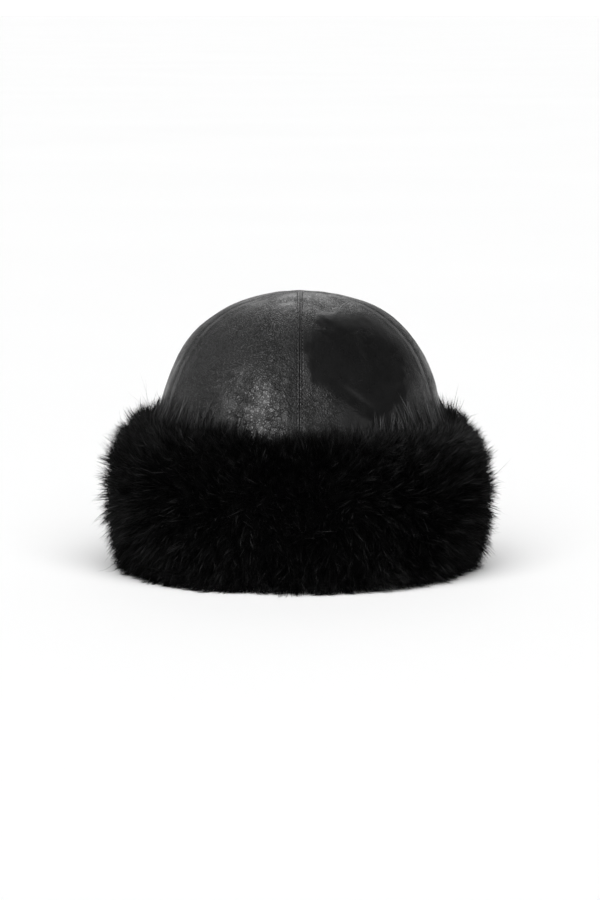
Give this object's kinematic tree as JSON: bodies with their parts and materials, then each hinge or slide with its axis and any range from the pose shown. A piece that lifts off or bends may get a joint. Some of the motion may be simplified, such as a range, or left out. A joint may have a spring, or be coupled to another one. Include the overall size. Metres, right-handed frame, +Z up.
{
  "type": "fur bucket hat",
  "caption": "Round leather crown of sewn panels, open below for the head, with a deep band of black fur turned up round it as a cuff.",
  "frame": {"origin": "on the surface that the hat stands on, under the middle of the object", "axes": "+Z up through the top of the crown, -Y out of the front seam, +X to the right in front view"},
  "size_m": [0.2598, 0.2578, 0.1781],
  "materials": {
    "leather": "black, softly shiny, with a fine creased grain",
    "fur": "black long-haired pile, dull inside and faintly shiny along the hairs"
  },
  "bodies": {
    "root": {"crown_panel_front_right": "leather", "crown_panel_side_right": "leather", "crown_panel_back": "leather", "crown_panel_side_left": "leather", "crown_panel_front_left": "leather", "fur_cuff": "fur"}
  },
  "joints": []
}
